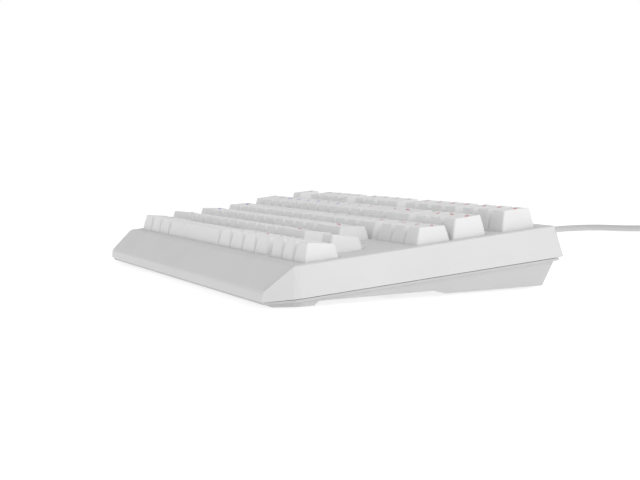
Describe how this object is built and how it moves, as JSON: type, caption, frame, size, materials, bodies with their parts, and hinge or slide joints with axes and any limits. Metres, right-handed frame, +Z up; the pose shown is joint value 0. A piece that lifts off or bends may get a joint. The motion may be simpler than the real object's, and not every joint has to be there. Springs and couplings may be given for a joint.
{
  "type": "mechanical keyboard",
  "caption": "Wired tenkeyless mechanical keyboard with a sloped front bezel, stepped keycaps on sprung switches, two fold-out feet and a coiled USB lead.",
  "frame": {"origin": "centre of the keyboard's own footprint, without the cable, on the desk", "axes": "+X to the typist's right, +Y away from the typist towards the cable side, +Z up"},
  "size_m": [0.3636, 0.4692, 0.0394],
  "materials": {
    "case_plastic": "fine spark texture, satin white",
    "key_plastic": "fine matt white with lit legends",
    "plate_steel": "white powder coat on steel",
    "board": "green solder mask",
    "switch_plastic": "moulded",
    "spring_steel": "drawn wire",
    "screw_steel": "dark zinc plate",
    "pad_rubber": "matt grey",
    "foot_plastic": "satin white",
    "lens": "clear light pipe",
    "cord_jacket": "satin grey PVC",
    "tie_fabric": "hook and loop strap",
    "plug_plastic": "satin grey overmould"
  },
  "bodies": {
    "case": {"top_case": "case_plastic", "bottom_case": "case_plastic", "case_screws": "screw_steel", "rubber_pads": "pad_rubber", "switch_plate": "plate_steel", "circuit_board": "board", "switch_housings": "switch_plastic", "switch_springs": "spring_steel", "stabilizers": "switch_plastic", "indicator_lenses": "lens", "cable_gland": "cord_jacket", "cable_lead": "cord_jacket", "cable_coil": "cord_jacket", "coil_tie": "tie_fabric", "usb_plug": "plug_plastic"},
    "foot_right_body": {"foot_right": "foot_plastic"},
    "foot_left_body": {"foot_left": "foot_plastic"},
    "space_bar_body": {"space_bar": "key_plastic"},
    "enter_key_body": {"enter_key": "key_plastic"},
    "escape_key_body": {"escape_key": "key_plastic"},
    "arrow_up_body": {"arrow_up": "key_plastic"},
    "backspace_key_body": {"backspace_key": "key_plastic"},
    "left_shift_body": {"left_shift": "key_plastic"},
    "right_shift_body": {"right_shift": "key_plastic"},
    "page_up_key_body": {"page_up_key": "key_plastic"},
    "left_ctrl_body": {"left_ctrl": "key_plastic"},
    "left_meta_body": {"left_meta": "key_plastic"},
    "left_alt_body": {"left_alt": "key_plastic"},
    "right_alt_body": {"right_alt": "key_plastic"},
    "fn_key_body": {"fn_key": "key_plastic"},
    "menu_key_body": {"menu_key": "key_plastic"},
    "right_ctrl_body": {"right_ctrl": "key_plastic"},
    "arrow_left_body": {"arrow_left": "key_plastic"},
    "arrow_down_body": {"arrow_down": "key_plastic"},
    "arrow_right_body": {"arrow_right": "key_plastic"},
    "shift_row_left_keys_body": {"shift_row_left_keys": "key_plastic"},
    "shift_row_right_keys_body": {"shift_row_right_keys": "key_plastic"},
    "caps_lock_body": {"caps_lock": "key_plastic"},
    "home_row_left_keys_body": {"home_row_left_keys": "key_plastic"},
    "home_row_middle_keys_body": {"home_row_middle_keys": "key_plastic"},
    "home_row_right_keys_body": {"home_row_right_keys": "key_plastic"},
    "tab_key_body": {"tab_key": "key_plastic"},
    "upper_row_left_keys_body": {"upper_row_left_keys": "key_plastic"},
    "upper_row_middle_keys_body": {"upper_row_middle_keys": "key_plastic"},
    "upper_row_right_keys_body": {"upper_row_right_keys": "key_plastic"},
    "backslash_key_body": {"backslash_key": "key_plastic"},
    "delete_key_body": {"delete_key": "key_plastic"},
    "end_key_body": {"end_key": "key_plastic"},
    "page_down_key_body": {"page_down_key": "key_plastic"},
    "number_row_left_keys_body": {"number_row_left_keys": "key_plastic"},
    "number_row_middle_keys_body": {"number_row_middle_keys": "key_plastic"},
    "number_row_right_keys_body": {"number_row_right_keys": "key_plastic"},
    "insert_key_body": {"insert_key": "key_plastic"},
    "home_key_body": {"home_key": "key_plastic"},
    "function_keys_1_to_4_body": {"function_keys_1_to_4": "key_plastic"},
    "function_keys_5_to_8_body": {"function_keys_5_to_8": "key_plastic"},
    "function_keys_9_to_12_body": {"function_keys_9_to_12": "key_plastic"},
    "print_screen_key_body": {"print_screen_key": "key_plastic"},
    "scroll_lock_key_body": {"scroll_lock_key": "key_plastic"},
    "pause_key_body": {"pause_key": "key_plastic"}
  },
  "joints": [
    {"name": "foot_right_fold", "type": "hinge", "parent": "case", "child": "foot_right_body", "pos_m": [0.156, 0.05268, 0.00296], "axis": [1, 0, 0], "range_deg": [0, 100]},
    {"name": "foot_left_fold", "type": "hinge", "parent": "case", "child": "foot_left_body", "pos_m": [-0.156, 0.05268, 0.00296], "axis": [1, 0, 0], "range_deg": [0, 100]},
    {"name": "space_bar_press", "type": "slide", "parent": "case", "child": "space_bar_body", "axis": [0, 0.0785, -0.9969], "range_m": [0, 0.004], "stiffness_N_per_m": 150, "springref_m": -0.006, "deforming": ["switch_springs"]},
    {"name": "enter_key_press", "type": "slide", "parent": "case", "child": "enter_key_body", "axis": [0, 0.0785, -0.9969], "range_m": [0, 0.004], "stiffness_N_per_m": 75, "springref_m": -0.006},
    {"name": "escape_key_press", "type": "slide", "parent": "case", "child": "escape_key_body", "axis": [0, 0.0785, -0.9969], "range_m": [0, 0.004], "stiffness_N_per_m": 75, "springref_m": -0.006},
    {"name": "arrow_up_press", "type": "slide", "parent": "case", "child": "arrow_up_body", "axis": [0, 0.0785, -0.9969], "range_m": [0, 0.004], "stiffness_N_per_m": 75, "springref_m": -0.006},
    {"name": "backspace_key_press", "type": "slide", "parent": "case", "child": "backspace_key_body", "axis": [0, 0.0785, -0.9969], "range_m": [0, 0.004], "stiffness_N_per_m": 75, "springref_m": -0.006},
    {"name": "left_shift_press", "type": "slide", "parent": "case", "child": "left_shift_body", "axis": [0, 0.0785, -0.9969], "range_m": [0, 0.004], "stiffness_N_per_m": 75, "springref_m": -0.006},
    {"name": "right_shift_press", "type": "slide", "parent": "case", "child": "right_shift_body", "axis": [0, 0.0785, -0.9969], "range_m": [0, 0.004], "stiffness_N_per_m": 75, "springref_m": -0.006},
    {"name": "page_up_key_press", "type": "slide", "parent": "case", "child": "page_up_key_body", "axis": [0, 0.0785, -0.9969], "range_m": [0, 0.004], "stiffness_N_per_m": 75, "springref_m": -0.006},
    {"name": "left_ctrl_press", "type": "slide", "parent": "case", "child": "left_ctrl_body", "axis": [0, 0.0785, -0.9969], "range_m": [0, 0.004], "stiffness_N_per_m": 75, "springref_m": -0.006},
    {"name": "left_meta_press", "type": "slide", "parent": "case", "child": "left_meta_body", "axis": [0, 0.0785, -0.9969], "range_m": [0, 0.004], "stiffness_N_per_m": 75, "springref_m": -0.006},
    {"name": "left_alt_press", "type": "slide", "parent": "case", "child": "left_alt_body", "axis": [0, 0.0785, -0.9969], "range_m": [0, 0.004], "stiffness_N_per_m": 75, "springref_m": -0.006},
    {"name": "right_alt_press", "type": "slide", "parent": "case", "child": "right_alt_body", "axis": [0, 0.0785, -0.9969], "range_m": [0, 0.004], "stiffness_N_per_m": 75, "springref_m": -0.006},
    {"name": "fn_key_press", "type": "slide", "parent": "case", "child": "fn_key_body", "axis": [0, 0.0785, -0.9969], "range_m": [0, 0.004], "stiffness_N_per_m": 75, "springref_m": -0.006},
    {"name": "menu_key_press", "type": "slide", "parent": "case", "child": "menu_key_body", "axis": [0, 0.0785, -0.9969], "range_m": [0, 0.004], "stiffness_N_per_m": 75, "springref_m": -0.006},
    {"name": "right_ctrl_press", "type": "slide", "parent": "case", "child": "right_ctrl_body", "axis": [0, 0.0785, -0.9969], "range_m": [0, 0.004], "stiffness_N_per_m": 75, "springref_m": -0.006},
    {"name": "arrow_left_press", "type": "slide", "parent": "case", "child": "arrow_left_body", "axis": [0, 0.0785, -0.9969], "range_m": [0, 0.004], "stiffness_N_per_m": 75, "springref_m": -0.006},
    {"name": "arrow_down_press", "type": "slide", "parent": "case", "child": "arrow_down_body", "axis": [0, 0.0785, -0.9969], "range_m": [0, 0.004], "stiffness_N_per_m": 75, "springref_m": -0.006},
    {"name": "arrow_right_press", "type": "slide", "parent": "case", "child": "arrow_right_body", "axis": [0, 0.0785, -0.9969], "range_m": [0, 0.004], "stiffness_N_per_m": 75, "springref_m": -0.006},
    {"name": "shift_row_left_keys_press", "type": "slide", "parent": "case", "child": "shift_row_left_keys_body", "axis": [0, 0.0785, -0.9969], "range_m": [0, 0.004], "stiffness_N_per_m": 375, "springref_m": -0.006},
    {"name": "shift_row_right_keys_press", "type": "slide", "parent": "case", "child": "shift_row_right_keys_body", "axis": [0, 0.0785, -0.9969], "range_m": [0, 0.004], "stiffness_N_per_m": 375, "springref_m": -0.006},
    {"name": "caps_lock_press", "type": "slide", "parent": "case", "child": "caps_lock_body", "axis": [0, 0.0785, -0.9969], "range_m": [0, 0.004], "stiffness_N_per_m": 75, "springref_m": -0.006},
    {"name": "home_row_left_keys_press", "type": "slide", "parent": "case", "child": "home_row_left_keys_body", "axis": [0, 0.0785, -0.9969], "range_m": [0, 0.004], "stiffness_N_per_m": 300, "springref_m": -0.006},
    {"name": "home_row_middle_keys_press", "type": "slide", "parent": "case", "child": "home_row_middle_keys_body", "axis": [0, 0.0785, -0.9969], "range_m": [0, 0.004], "stiffness_N_per_m": 300, "springref_m": -0.006},
    {"name": "home_row_right_keys_press", "type": "slide", "parent": "case", "child": "home_row_right_keys_body", "axis": [0, 0.0785, -0.9969], "range_m": [0, 0.004], "stiffness_N_per_m": 225, "springref_m": -0.006},
    {"name": "tab_key_press", "type": "slide", "parent": "case", "child": "tab_key_body", "axis": [0, 0.0785, -0.9969], "range_m": [0, 0.004], "stiffness_N_per_m": 75, "springref_m": -0.006},
    {"name": "upper_row_left_keys_press", "type": "slide", "parent": "case", "child": "upper_row_left_keys_body", "axis": [0, 0.0785, -0.9969], "range_m": [0, 0.004], "stiffness_N_per_m": 300, "springref_m": -0.006},
    {"name": "upper_row_middle_keys_press", "type": "slide", "parent": "case", "child": "upper_row_middle_keys_body", "axis": [0, 0.0785, -0.9969], "range_m": [0, 0.004], "stiffness_N_per_m": 300, "springref_m": -0.006},
    {"name": "upper_row_right_keys_press", "type": "slide", "parent": "case", "child": "upper_row_right_keys_body", "axis": [0, 0.0785, -0.9969], "range_m": [0, 0.004], "stiffness_N_per_m": 300, "springref_m": -0.006},
    {"name": "backslash_key_press", "type": "slide", "parent": "case", "child": "backslash_key_body", "axis": [0, 0.0785, -0.9969], "range_m": [0, 0.004], "stiffness_N_per_m": 75, "springref_m": -0.006},
    {"name": "delete_key_press", "type": "slide", "parent": "case", "child": "delete_key_body", "axis": [0, 0.0785, -0.9969], "range_m": [0, 0.004], "stiffness_N_per_m": 75, "springref_m": -0.006},
    {"name": "end_key_press", "type": "slide", "parent": "case", "child": "end_key_body", "axis": [0, 0.0785, -0.9969], "range_m": [0, 0.004], "stiffness_N_per_m": 75, "springref_m": -0.006},
    {"name": "page_down_key_press", "type": "slide", "parent": "case", "child": "page_down_key_body", "axis": [0, 0.0785, -0.9969], "range_m": [0, 0.004], "stiffness_N_per_m": 75, "springref_m": -0.006},
    {"name": "number_row_left_keys_press", "type": "slide", "parent": "case", "child": "number_row_left_keys_body", "axis": [0, 0.0785, -0.9969], "range_m": [0, 0.004], "stiffness_N_per_m": 375, "springref_m": -0.006},
    {"name": "number_row_middle_keys_press", "type": "slide", "parent": "case", "child": "number_row_middle_keys_body", "axis": [0, 0.0785, -0.9969], "range_m": [0, 0.004], "stiffness_N_per_m": 300, "springref_m": -0.006},
    {"name": "number_row_right_keys_press", "type": "slide", "parent": "case", "child": "number_row_right_keys_body", "axis": [0, 0.0785, -0.9969], "range_m": [0, 0.004], "stiffness_N_per_m": 300, "springref_m": -0.006},
    {"name": "insert_key_press", "type": "slide", "parent": "case", "child": "insert_key_body", "axis": [0, 0.0785, -0.9969], "range_m": [0, 0.004], "stiffness_N_per_m": 75, "springref_m": -0.006},
    {"name": "home_key_press", "type": "slide", "parent": "case", "child": "home_key_body", "axis": [0, 0.0785, -0.9969], "range_m": [0, 0.004], "stiffness_N_per_m": 75, "springref_m": -0.006},
    {"name": "function_keys_1_to_4_press", "type": "slide", "parent": "case", "child": "function_keys_1_to_4_body", "axis": [0, 0.0785, -0.9969], "range_m": [0, 0.004], "stiffness_N_per_m": 300, "springref_m": -0.006},
    {"name": "function_keys_5_to_8_press", "type": "slide", "parent": "case", "child": "function_keys_5_to_8_body", "axis": [0, 0.0785, -0.9969], "range_m": [0, 0.004], "stiffness_N_per_m": 300, "springref_m": -0.006},
    {"name": "function_keys_9_to_12_press", "type": "slide", "parent": "case", "child": "function_keys_9_to_12_body", "axis": [0, 0.0785, -0.9969], "range_m": [0, 0.004], "stiffness_N_per_m": 300, "springref_m": -0.006},
    {"name": "print_screen_key_press", "type": "slide", "parent": "case", "child": "print_screen_key_body", "axis": [0, 0.0785, -0.9969], "range_m": [0, 0.004], "stiffness_N_per_m": 75, "springref_m": -0.006},
    {"name": "scroll_lock_key_press", "type": "slide", "parent": "case", "child": "scroll_lock_key_body", "axis": [0, 0.0785, -0.9969], "range_m": [0, 0.004], "stiffness_N_per_m": 75, "springref_m": -0.006},
    {"name": "pause_key_press", "type": "slide", "parent": "case", "child": "pause_key_body", "axis": [0, 0.0785, -0.9969], "range_m": [0, 0.004], "stiffness_N_per_m": 75, "springref_m": -0.006}
  ]
}
